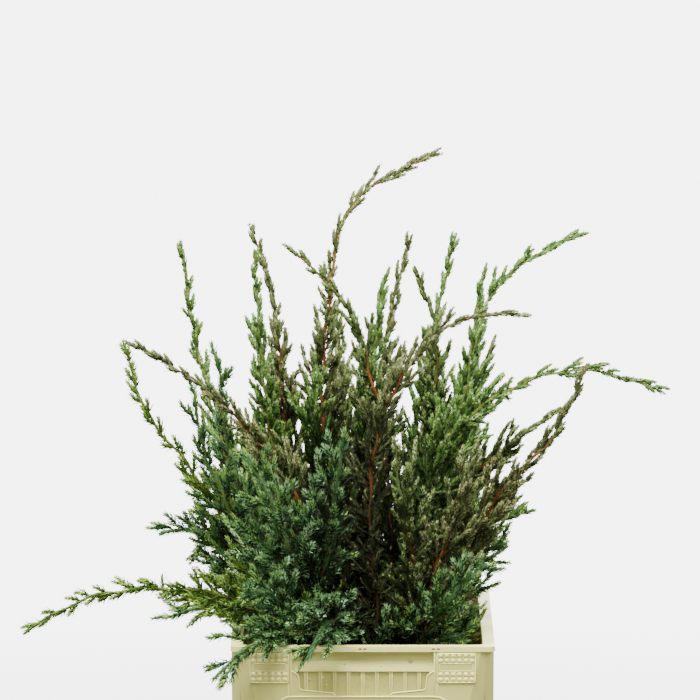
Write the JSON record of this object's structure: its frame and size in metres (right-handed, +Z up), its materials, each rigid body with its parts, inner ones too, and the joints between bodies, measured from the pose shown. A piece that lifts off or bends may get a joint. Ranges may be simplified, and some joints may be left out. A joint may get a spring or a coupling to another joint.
{
  "type": "cut juniper branches in a bucket",
  "caption": "Bunch of cut juniper branches with needled, arching twigs, standing in a tapered cream plastic flower bucket with a hanging skirt, card holders and stud pads.",
  "frame": {"origin": "the middle of the bucket's flat underside", "axes": "+Z up; the short side with the card holder seen in the picture faces -Y; +X to the right in the picture"},
  "size_m": [0.7003, 0.5781, 0.8002],
  "materials": {
    "cream_plastic": "slightly worn satin cream plastic",
    "bark": "thin reddish brown bark",
    "blue_green": "bluish green juniper needles",
    "green": "mid green juniper needles",
    "yellow_green": "fresh yellowish green juniper needles",
    "olive": "dull olive juniper needles",
    "bronze": "bronze-brown juniper needles"
  },
  "bodies": {
    "root": {"bucket": "cream_plastic", "bough_left_tall": "bark", "bough_left_green": "bark", "bough_left_hook": "bark", "bough_left_bow": "bark", "bough_left_low": "bark", "bough_arch": "bark", "bough_cross": "bark", "bough_middle": "bark", "bough_right_tall": "bark", "bough_right_green": "bark", "bough_right_brown": "bark", "bough_right_bow": "bark", "bough_right_low": "bark", "bough_front_left": "bark", "bough_droop": "bark", "bough_front_right": "bark", "bough_back_left": "bark", "bough_back_middle": "bark", "bough_back_right": "bark", "foliage_left_tall_bronze_spire": "bronze", "foliage_left_tall_green_spire": "green", "foliage_left_green_leader": "green", "foliage_left_green_side": "blue_green", "foliage_left_green_low": "blue_green", "foliage_left_hook_leader": "yellow_green", "foliage_left_hook_upper": "blue_green", "foliage_left_hook_lower": "blue_green", "foliage_left_bow_leader": "bronze", "foliage_left_low_leader": "yellow_green", "foliage_left_low_under": "blue_green", "foliage_arch_leader": "bronze", "foliage_arch_low": "green", "foliage_cross_leader": "olive", "foliage_middle_leader": "bronze", "foliage_middle_green": "green", "foliage_right_tall_leader": "green", "foliage_right_tall_bent": "olive", "foliage_right_green_leader": "green", "foliage_right_green_twin": "green", "foliage_right_green_low": "blue_green", "foliage_right_brown_leader": "bronze", "foliage_right_bow_leader": "green", "foliage_right_bow_side": "olive", "foliage_right_low_leader": "bronze", "foliage_right_low_side": "green", "foliage_front_left_upper": "blue_green", "foliage_front_left_middle": "blue_green", "foliage_front_left_lower": "blue_green", "foliage_droop_right": "blue_green", "foliage_droop_left": "blue_green", "foliage_front_right_spire": "olive", "foliage_front_right_upper": "bronze", "foliage_front_right_lower": "blue_green", "foliage_back_left_up": "green", "foliage_back_left_out": "blue_green", "foliage_back_middle_up": "olive", "foliage_back_middle_out": "green", "foliage_back_right_up": "bronze", "foliage_back_right_out": "green"}
  },
  "joints": []
}
